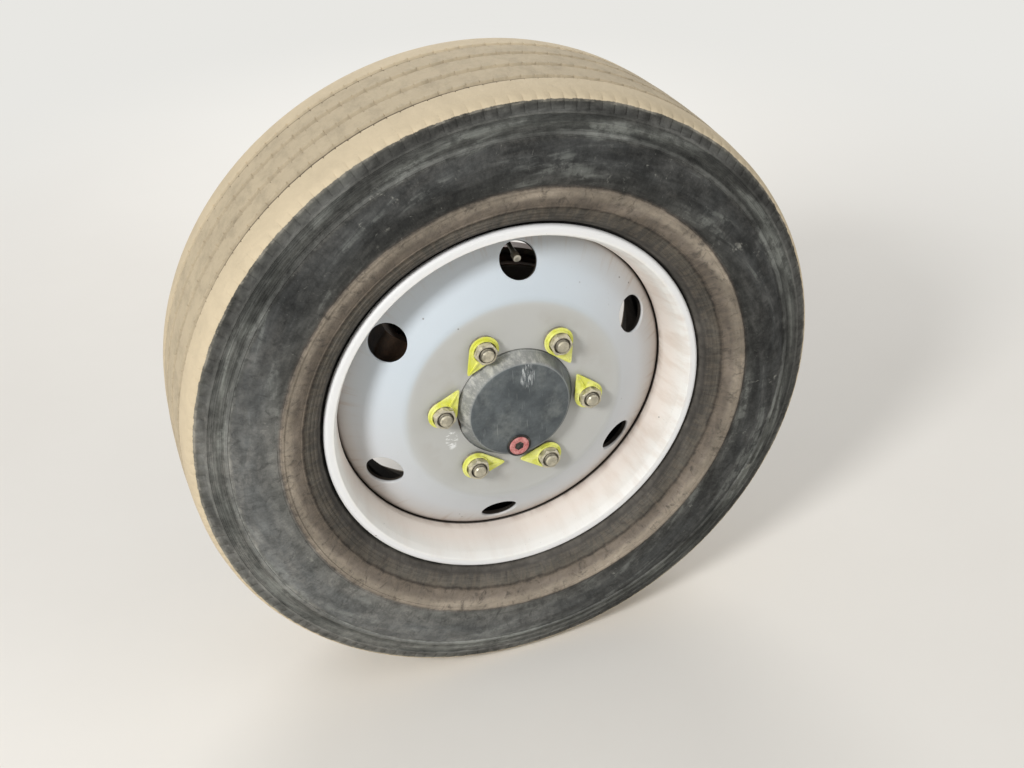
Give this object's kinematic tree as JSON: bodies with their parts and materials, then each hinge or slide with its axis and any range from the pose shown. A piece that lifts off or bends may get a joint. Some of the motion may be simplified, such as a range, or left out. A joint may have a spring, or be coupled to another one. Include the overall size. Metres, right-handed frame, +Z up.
{
  "type": "steered truck wheel end",
  "caption": "Front wheel end of a sweeper truck: tyred disc wheel on a hub with disc brake, carried by a knuckle that steers about a kingpin in the forged axle end.",
  "frame": {"origin": "middle of the axle end's round spigot, on its axis", "axes": "+X forward on the vehicle, +Y inboard along the spigot, +Z up; the wheel stands outboard at -Y and rolls about the Y axis"},
  "size_m": [0.866, 0.4754, 0.8659],
  "materials": {
    "axle_paint": "satin black paint, dusty",
    "steel": "machined steel with a film of grease",
    "black_plastic": "moulded",
    "brake_iron": "bare casting with thin rust",
    "brake_lining": "pressed friction lining",
    "shield_steel": "thin dark coating",
    "rotor_iron": "turned faces with brown rust between",
    "zinc_steel": "dull zinc with dust",
    "wheel_paint": "light silver-grey enamel, dusty",
    "tyre": "worn rubber with tan dust",
    "pointer_plastic": "faded fluorescent yellow",
    "cap_paint": "slate grey, scuffed",
    "red_plastic": "faded red",
    "valve_brass": "dull plated brass"
  },
  "bodies": {
    "axle_end": {"axle_end": "axle_paint", "kingpin": "steel", "kingpin_key": "steel", "thrust_bearing": "steel"},
    "knuckle": {"knuckle": "axle_paint", "kingpin_cap": "axle_paint", "steering_arm": "axle_paint", "steer_stop": "steel", "wheel_bearings": "steel", "spindle_nut": "steel", "speed_sensor": "black_plastic", "brake_carrier": "brake_iron", "calliper_pins": "steel", "brake_pads": "brake_lining", "brake_calliper": "brake_iron", "dust_shield": "shield_steel"},
    "wheel": {"hub": "brake_iron", "tone_ring": "steel", "brake_disc": "rotor_iron", "wheel_studs": "zinc_steel", "rim": "wheel_paint", "wheel_disc": "wheel_paint", "tyre": "tyre", "wheel_nuts": "zinc_steel", "nut_pointers": "pointer_plastic", "hub_cap": "cap_paint", "hub_cap_plug": "red_plastic", "valve": "valve_brass"}
  },
  "joints": [
    {"name": "steer", "type": "hinge", "parent": "axle_end", "child": "knuckle", "pos_m": [0, -0.195, 0], "axis": [0, 0.1392, 0.9903], "range_deg": [-45, 36]},
    {"name": "wheel_roll", "type": "hinge", "parent": "knuckle", "child": "wheel", "pos_m": [0, -0.299, 0], "axis": [0, 1, 0], "continuous": true}
  ]
}
